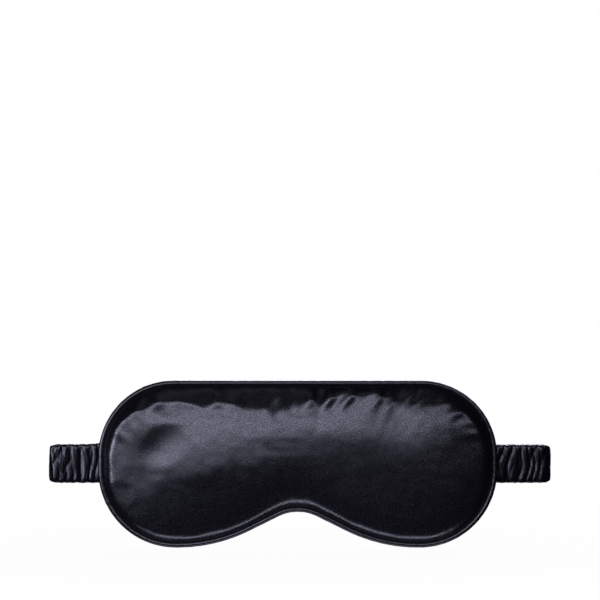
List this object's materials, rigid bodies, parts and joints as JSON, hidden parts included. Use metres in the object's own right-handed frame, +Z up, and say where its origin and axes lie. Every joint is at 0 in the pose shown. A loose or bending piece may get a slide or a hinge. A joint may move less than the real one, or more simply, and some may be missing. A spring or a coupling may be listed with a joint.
{
  "type": "sleep eye mask",
  "caption": "Padded satin sleep mask with a piped edge, a shallow nose notch and a ruched elastic strap that folds flat behind it.",
  "frame": {"origin": "on the rearmost plane of the back panel, where it meets the face, on the mirror plane at mid-height", "axes": "+X across the face, +Y towards the wearer's head (the front of the mask faces -Y), +Z up"},
  "size_m": [0.27, 0.0175, 0.0904],
  "materials": {
    "satin": "black silk charmeuse with a soft sheen",
    "piping_satin": "black bias-cut satin wrapped round a cord",
    "strap_satin": "black satin gathered over elastic",
    "lining": "thin black plain-weave lining",
    "wadding": "white polyester wadding",
    "cotton_cord": "twisted cotton cord",
    "thread": "black polyester sewing thread",
    "elastic": "black woven elastic band"
  },
  "bodies": {
    "mask_left": {"front_panel_left": "satin", "back_panel_left": "satin", "front_liner_left": "lining", "back_liner_left": "lining", "filling_left": "wadding", "piping_cover_left": "piping_satin", "piping_cord_left": "cotton_cord", "seam_thread_left": "thread", "strap_tab_left": "strap_satin", "bar_tack_left": "thread"},
    "strap_front_left": {"strap_front_casing_left": "strap_satin", "strap_front_band_left": "elastic", "strap_fold_casing_left": "strap_satin", "strap_fold_band_left": "elastic"},
    "strap_back_left": {"strap_back_casing_left": "strap_satin", "strap_back_band_left": "elastic"},
    "mask_right": {"front_panel_right": "satin", "back_panel_right": "satin", "front_liner_right": "lining", "back_liner_right": "lining", "filling_right": "wadding", "piping_cover_right": "piping_satin", "piping_cord_right": "cotton_cord", "seam_thread_right": "thread", "strap_tab_right": "strap_satin", "bar_tack_right": "thread"},
    "strap_front_right": {"strap_front_casing_right": "strap_satin", "strap_front_band_right": "elastic", "strap_fold_casing_right": "strap_satin", "strap_fold_band_right": "elastic"},
    "strap_back_right": {"strap_back_casing_right": "strap_satin", "strap_back_band_right": "elastic"}
  },
  "joints": [
    {"name": "bridge_wrap", "type": "hinge", "parent": "mask_left", "child": "mask_right", "pos_m": [0, 0, 0], "axis": [0, 0, 1], "range_deg": [0, 40]},
    {"name": "seam_left", "type": "hinge", "parent": "mask_left", "child": "strap_front_left", "pos_m": [-0.1064, -0.0034, 0], "axis": [0, 0, -1], "range_deg": [0, 20.5]},
    {"name": "fold_left", "type": "hinge", "parent": "strap_front_left", "child": "strap_back_left", "pos_m": [-0.13115, -0.00085, 0], "axis": [0, 0, 1], "range_deg": [0, 65.4], "deforming": ["strap_fold_casing_left", "strap_fold_band_left"]},
    {"name": "strap_middle", "type": "hinge", "parent": "strap_back_left", "child": "strap_back_right", "pos_m": [0, 0.0004, 0], "axis": [0, 0, -1], "range_deg": [0, 50.31]},
    {"name": "fold_right", "type": "hinge", "parent": "strap_back_right", "child": "strap_front_right", "pos_m": [0.13115, -0.00085, 0], "axis": [0, 0, 1], "range_deg": [0, 65.4], "deforming": ["strap_fold_casing_right", "strap_fold_band_right"]}
  ],
  "couplings": [
    {"joint": "seam_left", "follows": "bridge_wrap", "ratio": 0.5},
    {"joint": "fold_left", "follows": "bridge_wrap", "ratio": 1.6226},
    {"joint": "strap_middle", "follows": "bridge_wrap", "ratio": 1.2452},
    {"joint": "fold_right", "follows": "bridge_wrap", "ratio": 1.6226}
  ]
}
